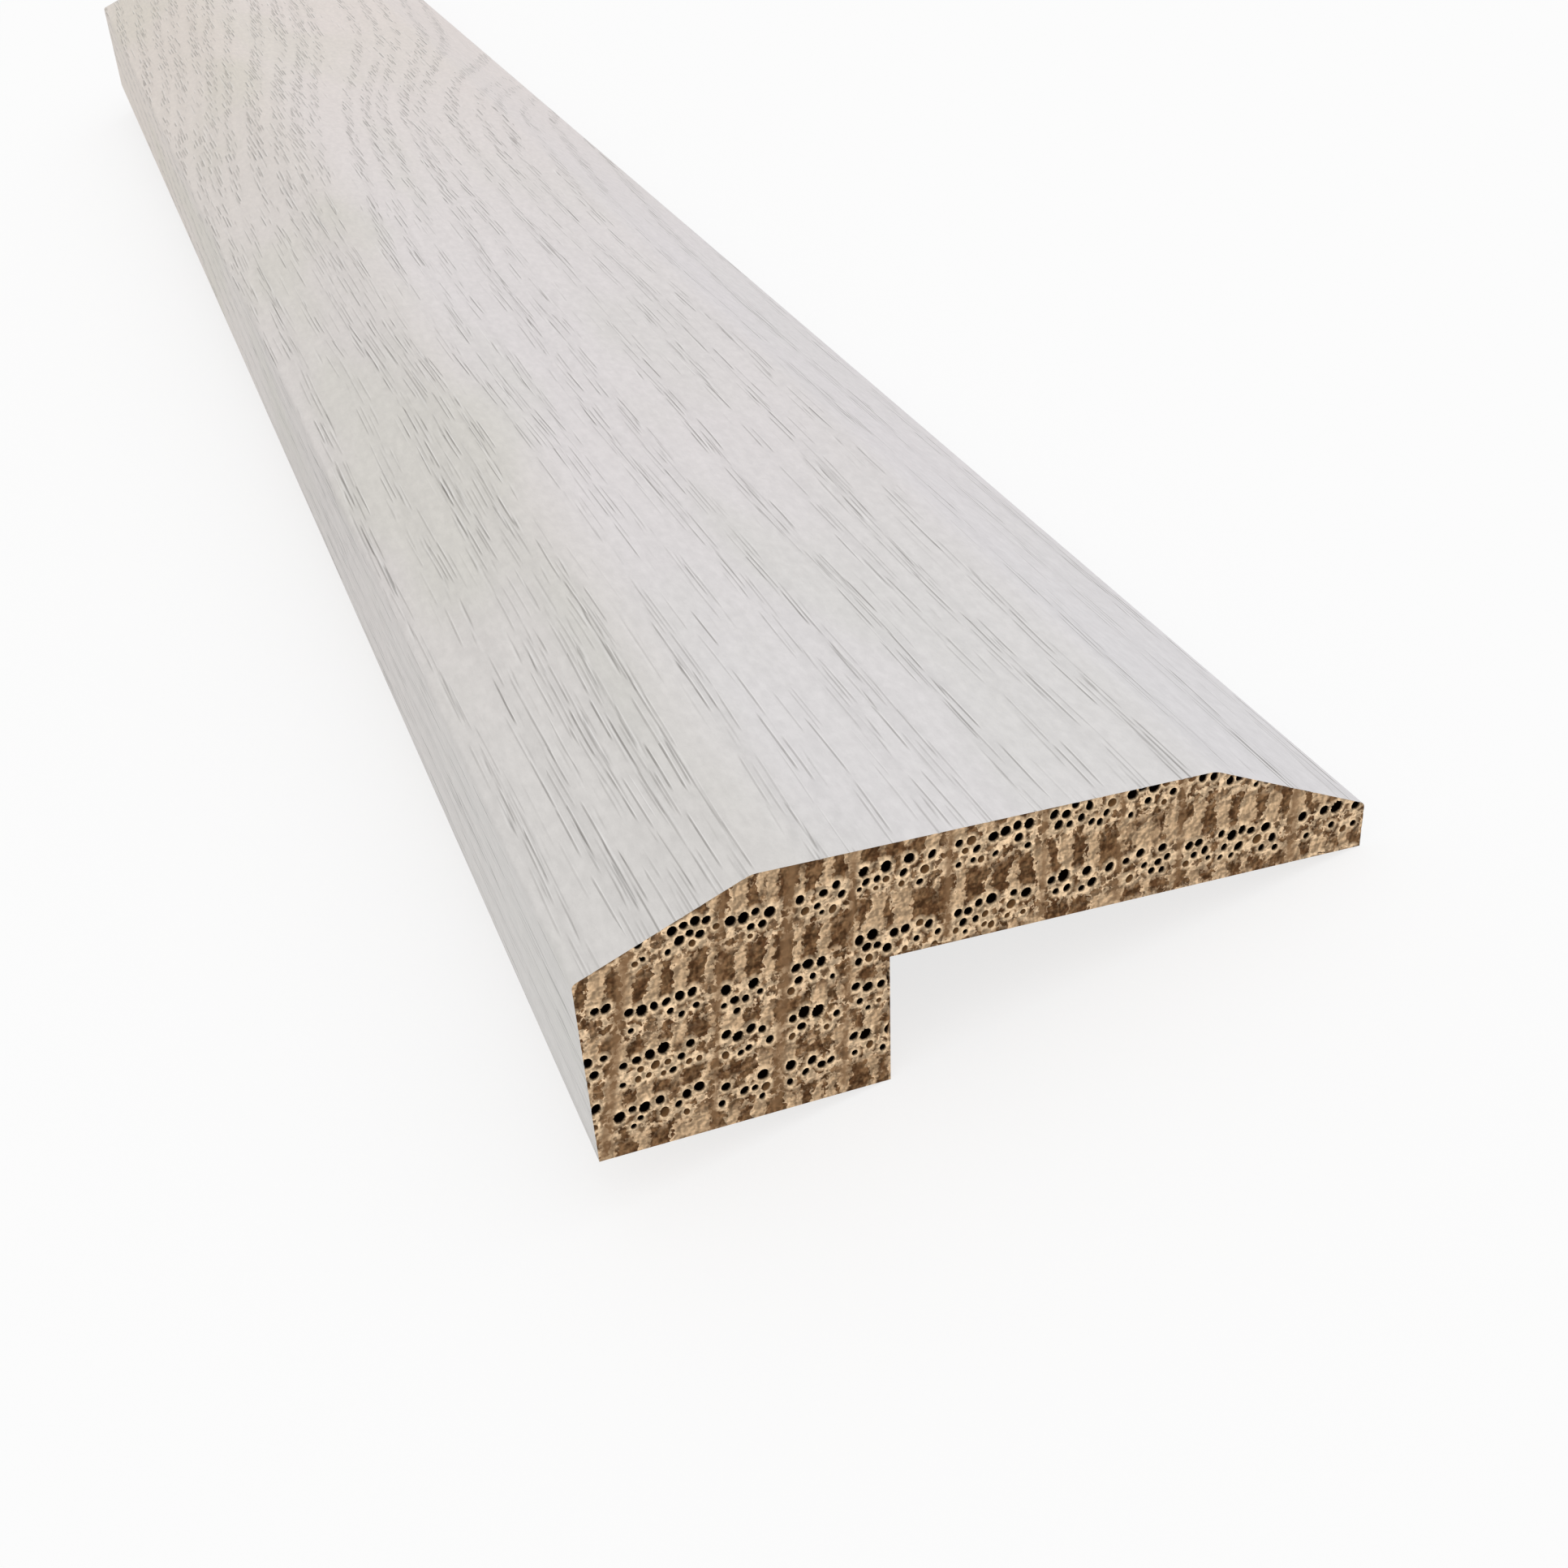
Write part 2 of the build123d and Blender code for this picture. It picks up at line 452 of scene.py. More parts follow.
# How far each point is from each vessel's middle, in that vessel's own stretched and turned radii
def vesselReach(points, pits):
    dq, dh = points[:, 0, None] - pits[:, 0], points[:, 1, None] - pits[:, 1]
    c, s = np.cos(pits[:, 5]), np.sin(pits[:, 5])
    return np.hypot((c * dq + s * dh) / pits[:, 2], (c * dh - s * dq) / pits[:, 2] / pits[:, 4])


# Rings of points round every vessel: circles stretched up and turned, without points on another's ground
def ringsRound(pits):
    g = sawnGrain
    radius = pits[:, 2]
    angle = (np.arange(g["spokes"]) + np.array(g["ringTurns"])[:, None]) * 2 * np.pi / g["spokes"]
    reach = [share * radius for share in g["pitRings"]]
    reach = np.stack(reach + [radius + share * g["wallWidth"] for share in g["wallRings"]], axis=1)
    x = (reach[:, :, None] * np.cos(angle)).reshape(len(pits), -1)
    y = (reach[:, :, None] * np.sin(angle)).reshape(len(pits), -1) * pits[:, 4, None]
    c, s = np.cos(pits[:, 5])[:, None], np.sin(pits[:, 5])[:, None]
    around = np.stack([pits[:, 0, None] + c * x - s * y, pits[:, 1, None] + s * x + c * y], axis=2)
    around = around.reshape(-1, 2)
    foreign = vesselReach(around, pits)
    foreign[np.arange(len(around)), np.repeat(np.arange(len(pits)), angle.size)] = np.inf
    return around[foreign.min(axis=1) > g["ownGround"]]


# The inner points of one end: the vessels' middles and rings, points along both edges of the rays and an even
# scattered fill, all inside the outline, with one point kept in each small cell
def endPoints(pits, rng):
    g = sawnGrain
    inner, outer = g["rayEdge"]
    heights = np.arange(g["rayStart"], crownHeight, g["rayStep"])
    rays = np.array([(q + lean * (h - midHeight) + side * width, h) for q, width, lean in g["rays"]
                     for h in heights for side in (-outer, -inner, inner, outer)])
    fillQ, fillH = np.meshgrid(np.arange(0, stripWidth, g["fill"]), np.arange(0, crownHeight, g["fill"]))
    fill = np.stack([fillQ.ravel(), fillH.ravel()], axis=1)
    fill = fill + rng.uniform(-g["fillScatter"], g["fillScatter"], fill.shape)
    between = np.concatenate([rays, fill])
    between = between[vesselReach(between, pits).min(axis=1) > g["clearGround"]]
    points = np.concatenate([pits[:, :2], ringsRound(pits), between])
    points = points[insideSection(points[:, 0], points[:, 1], g["edgeMargin"])]
    cell = np.floor(points / g["mergeCell"]).astype(int)
    first = np.unique(cell, axis=0, return_index=True)[1]
    return points[np.sort(first)]


# Triangles over the points, inside the outline that the first ones form, all turned the same way
def joinPoints(points, outlineSize):
    outlineFace = list(range(outlineSize))[::-1]
    found = delaunay_2d_cdt([Vector(p) for p in points.tolist()], [], [outlineFace], 1, 1e-5, True)
    triangles = np.array([face for face, source in zip(found[2], found[5]) if source])
    triangles = np.array([source[0] for source in found[3]])[triangles]
    corner = points[triangles]
    turned = np.cross(corner[:, 1] - corner[:, 0], corner[:, 2] - corner[:, 0]) < 0
    triangles[turned] = triangles[turned][:, ::-1]
    return triangles


# One sawn end: the face drops into each pit, stays up on the walls round it and sinks a little in between.
# The pits are painted shade: an open one is painted black, and a filled one is shallow, a little darker, with
# a painted shadow crescent on its upper left
def sawnEnd(ring, seed):
    g = sawnGrain
    rng = np.random.default_rng(seed)
    pits = vessels(rng)
    points = np.concatenate([ring, endPoints(pits, rng)])
    triangles = joinPoints(points, len(ring))
    away = vesselReach(points, pits)
    inPit = 1 - smoothStep(*g["pitEdge"], away)
    isOpen = pits[:, 3] > 0.5
    # Painted shade in the pits: open ones black, filled ones a little darker with a shadow crescent on the
    # upper left
    lean = points[:, 0, None] - pits[:, 0] - points[:, 1, None] + pits[:, 1]
    crescentShadow = 1 - smoothStep(*g["crescentEdge"], lean)
    pitShade = (inPit * np.where(isOpen, 1.0, g["filledDark"] + g["crescentDark"] * crescentShadow)).max(axis=1)
    slope = 1 - g["pitSlope"] * np.clip(away, 0, 1)
    pit = (inPit * slope * np.where(isOpen, 1.0, g["filledDepth"])).max(axis=1)
    wallLow, wallHigh = (share * g["wallWidth"] for share in g["wallEdge"])
    wall = (1 - smoothStep(wallLow, wallHigh, (away - 1) * pits[:, 2])).max(axis=1) * (1 - inPit.max(axis=1))
    drop = g["pitDepth"] * pit + g["wallDepth"] * (1 - wall) * (1 - pit)
    drop[:len(ring)] = 0
    print("sawn end:", len(pits), "vessels,", len(triangles), "triangles")
    looks = dict(pitShade=pitShade, wall=wall, filled=(inPit * ~isOpen).max(axis=1))
    looks.update(ray=rayShare(points), early=earlyShare(points))
    looks["upright"] = uprightPlace(points[:, 0], points[:, 1])
    return points, triangles, drop, looks


nearEnd = sawnEnd(np.stack([ringQ[0], ringH[0]], axis=1), sawnGrain["nearSeed"])
farEnd = sawnEnd(np.stack([ringQ[-1], ringH[-1]], axis=1), sawnGrain["farSeed"])

# Flat map of the strip for its baked finish, in parts of its side
bakeMap = dict(
    washed=(0.0, 0.742), hidden=(0.922, 0.997),
    ends=0.749, endScale=0.0093, nearEnd=0.008, farEnd=0.508,
)


# The washed faces fill the left of the map, by their place round the section and along the length.
# The two ends lie beside them at one scale, and the hidden faces at the right
def bakeAtlas(cornerRow, cornerColumn, nearCorners, farCorners):
    g = bakeMap
    low, high = g["washed"]
    washedU = low + (high - low) * showV / showLength
    hiddenU = np.linspace(*g["hidden"], ringSize - showColumns + 2)
    onHidden = cornerColumn[:, :1] >= showColumns - 1
    u = np.where(onHidden, hiddenU[np.clip(cornerColumn - showColumns + 1, 0, None)],
                 washedU[np.clip(cornerColumn, 0, showColumns - 1)])
    quads = np.stack([u, ringT[cornerRow, cornerColumn % ringSize] / stripLength], axis=2).reshape(-1, 2)
    maps = [quads]
    for corners, start in ((nearCorners, g["nearEnd"]), (farCorners, g["farEnd"])):
        q, h = corners[..., 0], corners[..., 1]
        flat = np.stack([g["ends"] + g["endScale"] * h, start + g["endScale"] * q], axis=2)
        maps.append(flat.reshape(-1, 2))
    return np.concatenate(maps)


# The whole strip as one closed mesh: the grid round the section, then the two sawn ends on its end rows.
# Edges that turn by more than the sharp angle, in degrees, stay sharp
def stripMesh(sharpAngle=38):
    sideCount = rowCount * ringSize
    nearExtra, farExtra = nearEnd[0][ringSize:], farEnd[0][ringSize:]
    nearDrop, farDrop = nearEnd[2][ringSize:], farEnd[2][ringSize:]
    vertices = np.concatenate([
        sideVertices,
        inFrame(nearExtra[:, 0], nearDrop, nearExtra[:, 1]),
        inFrame(farExtra[:, 0], stripLength - farDrop, farExtra[:, 1]),
    ])
    row, column = np.meshgrid(np.arange(rowCount - 1), np.arange(ringSize), indexing="ij")
    row, column = row.ravel(), column.ravel()
    cornerRow = row[:, None] + np.array([0, 0, 1, 1])
    cornerColumn = column[:, None] + np.array([0, 1, 1, 0])
    quads = cornerRow * ringSize + cornerColumn % ringSize
    nearIndex = np.concatenate([np.arange(ringSize), sideCount + np.arange(len(nearExtra))])
    farIndex = np.concatenate([(rowCount - 1) * ringSize + np.arange(ringSize),
                               sideCount + len(nearExtra) + np.arange(len(farExtra))])
    nearFaces = nearIndex[nearEnd[1]]
    farFaces = farIndex[farEnd[1]][:, ::-1]
    endCount = len(nearFaces) + len(farFaces)
    loops = np.concatenate([quads.ravel(), nearFaces.ravel(), farFaces.ravel()])
    sizes = np.concatenate([np.full(len(quads), 4), np.full(endCount, 3)])
    slots = np.concatenate([np.where(column < showColumns - 1, 0, 2), np.full(endCount, 1)])
    mesh = bpy.data.meshes.new("threshold_strip_wood")
    mesh.vertices.add(len(vertices))
    mesh.vertices.foreach_set("co", vertices.astype(np.float32).ravel())
    mesh.loops.add(len(loops))
    mesh.loops.foreach_set("vertex_index", loops.astype(np.int32))
    mesh.polygons.add(len(sizes))
    starts = np.cumsum(sizes) - sizes
    for name, values in (("loop_start", starts), ("loop_total", sizes), ("material_index", slots)):
        mesh.polygons.foreach_set(name, values.astype(np.int32))
    mesh.update(calc_edges=True)
    mesh.validate()
    mesh.polygons.foreach_set("use_smooth", np.ones(len(sizes), bool))
    mesh.set_sharp_from_angle(angle=np.radians(sharpAngle))
    atlas = bakeAtlas(cornerRow, cornerColumn, nearEnd[0][nearEnd[1]], farEnd[0][farEnd[1]][:, ::-1])
    mesh.uv_layers.new(name="OFBake").data.foreach_set("uv", atlas.astype(np.float32).ravel())

    # One value for each vertex, for the materials
    def attribute(name, values):
        made = mesh.attributes.new(name, "FLOAT", "POINT")
        made.data.foreach_set("value", values.astype(np.float32))

    for name, field in washed.items():
        whole = np.zeros(len(vertices))
        whole[:sideCount].reshape(rowCount, ringSize)[:, :showColumns] = field
        attribute(name, whole)
    for name in nearEnd[3]:
        whole = np.zeros(len(vertices))
        whole[nearIndex] = nearEnd[3][name]
        whole[farIndex] = farEnd[3][name]
        attribute(name, whole)
    return mesh


strip = bpy.data.objects.new("threshold_strip_wood", stripMesh())
bpy.context.scene.collection.objects.link(strip)
print("strip mesh:", len(strip.data.polygons), "faces")


# A node with its settings; an input is linked where a socket is given and set where a value is given
def addNode(tree, kind, inputs=None, **settings):
    made = tree.nodes.new(kind)
    for name, value in settings.items():
        setattr(made, name, value)
    for name, value in (inputs or {}).items():
        if isinstance(value, bpy.types.NodeSocket):
            tree.links.new(value, made.inputs[name])
        else:
            made.inputs[name].default_value = value
    return made


# Two tones mixed by a factor; with MULTIPLY, the first is multiplied by the second as far as the factor says
def mixTone(tree, factor, first, second, blend="MIX"):
    inputs = {0: factor, 6: first, 7: second}
    return addNode(tree, "ShaderNodeMix", inputs, data_type="RGBA", blend_type=blend).outputs[2]


# One step of arithmetic on its values
def calc(tree, operation, *values):
    return addNode(tree, "ShaderNodeMath", dict(enumerate(values)), operation=operation).outputs[0]


# The product of two values
def times(tree, first, second):
    return calc(tree, "MULTIPLY", first, second)


# A value eased from the range low to high into the range toLow to toHigh, held at both ends
def span(tree, value, low, high, toLow=0.0, toHigh=1.0):
    inputs = {"Value": value, "From Min": low, "From Max": high, "To Min": toLow, "To Max": toHigh}
    return addNode(tree, "ShaderNodeMapRange", inputs, interpolation_type="SMOOTHSTEP").outputs[0]


# A colour made darker and lighter: multiplied by a value eased from its range into a range of shades
def shadeBy(tree, colour, value, valueRange, shades):
    return mixTone(tree, 1.0, colour, span(tree, value, *valueRange, *shades), "MULTIPLY")


# Layered noise at a place, about 0 to 1
def noise(tree, place, detail=2.0, roughness=0.5):
    inputs = {"Vector": place, "Scale": 1.0, "Detail": detail, "Roughness": roughness}
    return addNode(tree, "ShaderNodeTexNoise", inputs).outputs["Fac"]


# A value that the mesh carries at its vertices
def read(tree, name):
    return addNode(tree, "ShaderNodeAttribute", attribute_name=name).outputs["Fac"]


# Object place turned to the section, in metres from the middle of the strip
def turnedPlace(tree):
    tilt = np.arctan2(upAxis[0], upAxis[2])
    here = addNode(tree, "ShaderNodeTexCoord").outputs["Object"]
    return addNode(tree, "ShaderNodeMapping", {"Vector": here, "Rotation": (0, -tilt, 0)}).outputs[0]


# The same place stretched: cells for each mm across, along and up, after a shift in mm
def cells(tree, across, along, up, shift=(0, 0, 0)):
    scale = (across / mm, along / mm, up / mm)
    moved = [move * mm * size for move, size in zip(shift, scale)]
    inputs = {"Vector": turnedPlace(tree), "Scale": scale, "Location": moved}
    return addNode(tree, "ShaderNodeMapping", inputs).outputs[0]


# A new material with its tree and its shader
def newMaterial(name, specular):
    material = bpy.data.materials.new(name)
    material.use_nodes = True
    shader = material.node_tree.nodes["Principled BSDF"]
    shader.inputs["Specular IOR Level"].default_value = specular
    return material, material.node_tree, shader


# Link colour and roughness to the shader, and a bump of a given strength and depth in metres from a height
def finishShader(tree, shader, colour, roughness, height, strength, depth, **settings):
    inputs = {"Height": height, "Strength": strength, "Distance": depth}
    bump = addNode(tree, "ShaderNodeBump", inputs, **settings)
    tree.links.new(colour, shader.inputs["Base Color"])
    tree.links.new(roughness, shader.inputs["Roughness"])
    tree.links.new(bump.outputs[0], shader.inputs["Normal"])


# Fine pores of the ring bands: one dash in each cell of a scattered mesh, round the cell's own point, kept
# where the band is stronger than the cell's chance. Its share falls off from its middle line and towards both
# ends, and varies raggedly along it; a painted highlight streak lies along one side
def poreDashes(tree, farShare):
    g = dict(
        wave=1.6, waveCells=(0.2, 0.05, 0.2), scatter=0.85, keepEdge=0.06,
        nearHalf=0.22, farHalf=0.34, lineEdge=(0.45, 1.1),
        leastReach=0.38, moreReach=0.16, endEdge=(0.6, 1.0),
        nearLeast=0.2, nearMore=0.42, nearPower=1.8, farLeast=0.2, farMore=0.32,
        ragged=0.7, raggedCells=(1.4, 0.3, 1.4), raggedEdge=(0.4, 0.6),
        glint=0.95, glintFrom=(0.8, 1.2), glintTo=(1.5, 2.2),
    )
    wave = times(tree, noise(tree, cells(tree, *g["waveCells"]), 1.0), g["wave"])
    x = calc(tree, "ADD", read(tree, "around"), wave)
    spot = addNode(tree, "ShaderNodeCombineXYZ", {"X": x, "Y": read(tree, "along")}).outputs[0]
    inputs = {"Vector": spot, "Scale": 1.0, "Randomness": g["scatter"]}
    scatter = addNode(tree, "ShaderNodeTexVoronoi", inputs, voronoi_dimensions="2D").outputs
    away = addNode(tree, "ShaderNodeVectorMath", {0: spot, 1: scatter["Position"]}, operation="SUBTRACT")
    away = addNode(tree, "ShaderNodeSeparateXYZ", {0: away.outputs[0]}).outputs
    chance = addNode(tree, "ShaderNodeSeparateColor", {0: scatter["Color"]}).outputs
    half = span(tree, farShare, 0.0, 1.0, g["nearHalf"], g["farHalf"])
    aside = calc(tree, "DIVIDE", away["X"], half)
    reach = calc(tree, "MULTIPLY_ADD", chance[2], g["moreReach"], g["leastReach"])
    ends = span(tree, calc(tree, "DIVIDE", calc(tree, "ABSOLUTE", away["Y"]), reach), *g["endEdge"], 1.0, 0.0)
    spare = calc(tree, "SUBTRACT", read(tree, "band"), chance[0])
    kept = span(tree, spare, -g["keepEdge"], g["keepEdge"])
    near = calc(tree, "POWER", chance[1], g["nearPower"])
    near = calc(tree, "MULTIPLY_ADD", near, g["nearMore"], g["nearLeast"])
    far = calc(tree, "MULTIPLY_ADD", chance[1], g["farMore"], g["farLeast"])
    strength = addNode(tree, "ShaderNodeMix", {0: farShare, 2: near, 3: far}, data_type="FLOAT").outputs[0]
    ragged = span(tree, noise(tree, cells(tree, *g["raggedCells"])), *g["raggedEdge"], g["ragged"], 1.0)
    for share in (ends, kept, ragged):
        strength = times(tree, strength, share)
    line = span(tree, calc(tree, "ABSOLUTE", aside), *g["lineEdge"], 1.0, 0.0)
    # Painted highlight: a pale streak beside each dash
    highlightStreak = span(tree, aside, *g["glintTo"], g["glint"], 0.0)
    highlightStreak = times(tree, span(tree, aside, *g["glintFrom"]), highlightStreak)
    return times(tree, strength, line), times(tree, strength, highlightStreak)


# White wash over oak: pale grey that warms along the length and turns a little olive towards the side,
# where it is also darker as painted shade; the bevel by the lip is cooler and darker as painted shade and the
# outer side lighter as painted light. With soft mottle, faint fibres, darker ring bands and grey pores with a
# painted highlight streak beside them. Places along and across are in metres from the middle of the strip,
# cells are for each mm
def whiteWash():
    look = dict(
        cool=tone(216, 213, 213), middle=tone(217, 212, 212), warm=tone(219, 210, 205),
        middleAlong=(-0.145, -0.08), warmAlong=(-0.07, 0.12), farAlong=(-0.04, 0.05),
        # The olive cast is a tint that also paints shade, the lip cast a cool tint that also paints shade,
        # and the side cast paints light
        oliveTintAndShade=(0.955, 0.952, 0.92, 1.0), oliveAcross=(-0.009, -0.0155),
        lipCoolAndShade=(0.972, 0.977, 0.992, 1.0), lipBack=(0.012, 0.009),
        sidePaintedLight=(1.045, 1.05, 1.05, 1.0), sideIn=(0.003, 0.002), sideDown=(0.0003, 0.0012),
        greenCast=(0.955, 0.97, 0.94, 1.0), greenEdge=(0.46, 0.64),
        greenAcross=(0.012, -0.01), greenLeast=0.35,
        patchCells=(0.07, 0.02, 0.07), mottleCells=(1.3, 0.8, 1.3), fibreCells=(2.2, 0.6, 2.2),
        streakCells=(0.8, 0.035, 0.8), mottleRange=(0.3, 0.7), mottleShade=(0.972, 1.028),
        fibre=((0.32, 0.68), (0.97, 1.027)), streaks=((0.35, 0.65), (0.986, 1.01)),
        crowd=((0.0, 0.16), (1.0, 0.925)), band=((0.0, 1.0), (1.004, 0.966)),
        poreDark=tone(92, 87, 81), poreEdge=(0.22, 0.88), glintLight=tone(240, 238, 236), glint=0.8,
        roughness=(0.57, 0.67), specular=0.35, bump=0.25, bumpDepth=0.0003,
    )
    material, tree, shader = newMaterial("white_washed_oak", look["specular"])
    place = addNode(tree, "ShaderNodeSeparateXYZ", {0: turnedPlace(tree)}).outputs
    sideEdge = sectionOrigin @ acrossAxis
    lipEdge = sideEdge + stripWidth * mm
    sideTop = sectionOrigin @ upAxis + edgeHeight * mm
    patches = noise(tree, cells(tree, *look["patchCells"]))
    mottle = noise(tree, cells(tree, *look["mottleCells"]), 3.0, 0.65)
    fibre = noise(tree, cells(tree, *look["fibreCells"]), 3.0, 0.6)
    streaks = noise(tree, cells(tree, *look["streakCells"]), 3.0, 0.6)
    colour = mixTone(tree, span(tree, place["Y"], *look["middleAlong"]), look["cool"], look["middle"])
    colour = mixTone(tree, span(tree, place["Y"], *look["warmAlong"]), colour, look["warm"])
    onOlive = span(tree, place["X"], *look["oliveAcross"])
    onLip = span(tree, place["X"], *[lipEdge - back for back in look["lipBack"]])
    onSide = span(tree, place["X"], *[sideEdge + step for step in look["sideIn"]])
    onSide = times(tree, onSide, span(tree, place["Z"], *[sideTop - step for step in look["sideDown"]]))
    onGreen = span(tree, place["X"], *look["greenAcross"], look["greenLeast"], 1.0)
    onGreen = times(tree, span(tree, patches, *look["greenEdge"]), onGreen)
    # Casts by place: olive tint with painted shade towards the side, cool tint with painted shade on the
    # bevel by the lip, painted light on the outer side, and green tint in patches
    for share, cast in ((onOlive, look["oliveTintAndShade"]), (onLip, look["lipCoolAndShade"]),
                        (onSide, look["sidePaintedLight"]), (onGreen, look["greenCast"])):
        colour = mixTone(tree, share, colour, cast, "MULTIPLY")
    colour = shadeBy(tree, colour, mottle, look["mottleRange"], look["mottleShade"])
    colour = shadeBy(tree, colour, fibre, *look["fibre"])
    colour = shadeBy(tree, colour, read(tree, "shade"), *look["crowd"])
    colour = shadeBy(tree, colour, streaks, *look["streaks"])
    colour = shadeBy(tree, colour, read(tree, "band"), *look["band"])
    dash, dashGlint = poreDashes(tree, span(tree, place["Y"], *look["farAlong"]))
    # Painted highlight streaks beside the fine pore dashes
    colour = mixTone(tree, dashGlint, colour, look["glintLight"])
    colour = mixTone(tree, dash, colour, look["poreDark"])
    # Painted highlight streaks beside the pores of the mesh
    colour = mixTone(tree, times(tree, read(tree, "glint"), look["glint"]), colour, look["glintLight"])
    line = span(tree, read(tree, "pore"), *look["poreEdge"])
    colour = mixTone(tree, times(tree, line, read(tree, "poreTone")), colour, look["poreDark"])
    roughness = span(tree, mottle, *look["mottleRange"], *look["roughness"])
    finishShader(tree, shader, colour, roughness, mottle, look["bump"], look["bumpDepth"])
    return material


# Sawn oak: pale ragged flames that stand in dark wood along the rays, a lace of pale cell walls in the early
# wood, vessels with pale walls and pits painted black as shade, and smooth brown rays. A flame is where a
# stretched noise plus a sine across, bent by that noise, is over a level, at a place shaken by a finer noise.
# Flames and lumps carry painted light: the difference from a place a little to the upper left paints a
# highlight on one rim and shade on the other
def sawnOak():
    look = dict(
        # light is both the pale colour of the lace and the colour of the painted highlights; dark is both the
        # dark wood and the painted shade
        dark=tone(86, 60, 39), brown=tone(122, 93, 65), pale=tone(189, 160, 127), light=tone(226, 197, 162),
        wall=tone(236, 207, 170), ray=tone(138, 107, 77), filled=tone(124, 91, 59), pitShade=tone(9, 4, 2),
        shake=1.2, shakeCells=(3.4, 0.05, 3.0), acrossCells=0.7, upCells=0.22, flameStep=1.75, bend=7.0,
        swing=0.13, flameEdge=(0.47, 0.56), rim=0.12, rimFrom=0.2, rimTo=0.9, rimHighlight=0.6, rimShade=0.55,
        jagCells=(2.6, 0.05, 2.0), jagEdge=(0.38, 0.62), laceCells=1.7, laceEdge=(0.39, 0.55), laceShare=0.85,
        sandCells=(5.5, 0.05, 5.5), sandRange=(0.32, 0.68), sandShade=(0.86, 1.14),
        lumpCells=(1.5, 0.05, 1.5), lumpRange=(-0.14, 0.14), lumpShade=(0.6, 1.4),
        wallShare=0.85, rayShare=0.75,
        roughRange=(0.3, 0.7), roughness=(0.8, 0.9), specular=0.0, bump=0.3, bumpDepth=0.0002,
    )
    material, tree, shader = newMaterial("sawn_oak_end", look["specular"])
    inputs = {"Vector": cells(tree, *look["shakeCells"]), "Scale": 1.0, "Detail": 4.0}
    shaker = addNode(tree, "ShaderNodeTexNoise", inputs)
    shaken = addNode(tree, "ShaderNodeSeparateColor", {0: shaker.outputs["Color"]}).outputs
    height = addNode(tree, "ShaderNodeSeparateXYZ", {0: turnedPlace(tree)}).outputs["Z"]
    across = calc(tree, "MULTIPLY_ADD", shaken[0], look["shake"], read(tree, "upright"))
    up = calc(tree, "MULTIPLY_ADD", shaken[1], look["shake"], calc(tree, "DIVIDE", height, mm))

    # How far into a flame, at a place moved across and up
    def flame(moveAcross, moveUp):
        x = calc(tree, "ADD", across, moveAcross)
        z = times(tree, calc(tree, "ADD", up, moveUp), look["upCells"])
        there = {"X": times(tree, x, look["acrossCells"]), "Z": z}
        level = noise(tree, addNode(tree, "ShaderNodeCombineXYZ", there).outputs[0], 1.0)
        bent = times(tree, level, look["bend"])
        wave = calc(tree, "SINE", calc(tree, "MULTIPLY_ADD", x, 2 * np.pi / look["flameStep"], bent))
        return span(tree, calc(tree, "MULTIPLY_ADD", wave, look["swing"], level), *look["flameEdge"])

    # Height of the lumps at a place moved across and up
    def lump(moveAcross, moveUp):
        return noise(tree, cells(tree, *look["lumpCells"], (moveAcross, 0, moveUp)), 2.0, 0.6)

    # Painted highlight and shade on the flames: the flame here less the flame a little to the upper left
    here, beside = flame(0, 0), flame(-look["rim"], look["rim"])
    lit = calc(tree, "SUBTRACT", here, beside)
    # Painted highlight and shade on the lumps: their height here less their height a little to the upper left
    lumpHighlightAndShade = calc(tree, "SUBTRACT", lump(0, 0), lump(-look["rim"], look["rim"]))
    jag = noise(tree, cells(tree, *look["jagCells"]))
    sand = noise(tree, cells(tree, *look["sandCells"]))
    dark = mixTone(tree, span(tree, jag, *look["jagEdge"]), look["dark"], look["brown"])
    colour = mixTone(tree, here, dark, look["pale"])
    # Painted highlight on the upper left rims of the flames and painted shade on the lower right rims
    paintedHighlight = span(tree, lit, look["rimFrom"], look["rimTo"], 0.0, look["rimHighlight"])
    paintedShade = span(tree, lit, -look["rimFrom"], -look["rimTo"], 0.0, look["rimShade"])
    colour = mixTone(tree, paintedHighlight, colour, look["light"])
    colour = mixTone(tree, paintedShade, colour, look["dark"])
    spot = addNode(tree, "ShaderNodeCombineXYZ", {"X": across, "Y": up}).outputs[0]
    inputs = {"Vector": spot, "Scale": look["laceCells"]}
    net = addNode(tree, "ShaderNodeTexVoronoi", inputs, voronoi_dimensions="2D").outputs["Distance"]
    lace = mixTone(tree, span(tree, net, *look["laceEdge"]), dark, look["light"])
    colour = mixTone(tree, times(tree, read(tree, "early"), look["laceShare"]), colour, lace)
    colour = shadeBy(tree, colour, sand, look["sandRange"], look["sandShade"])
    colour = mixTone(tree, times(tree, read(tree, "wall"), look["wallShare"]), colour, look["wall"])
    # Painted highlight and shade of the lumps
    colour = shadeBy(tree, colour, lumpHighlightAndShade, look["lumpRange"], look["lumpShade"])
    colour = mixTone(tree, times(tree, read(tree, "ray"), look["rayShare"]), colour, look["ray"])
    colour = mixTone(tree, read(tree, "filled"), colour, look["filled"])
    # Painted shade: the open pits black, and a shadow crescent in each filled vessel
    colour = mixTone(tree, read(tree, "pitShade"), colour, look["pitShade"])
    roughness = span(tree, sand, *look["roughRange"], *look["roughness"])
    finishShader(tree, shader, colour, roughness, here, look["bump"], look["bumpDepth"])
    return material


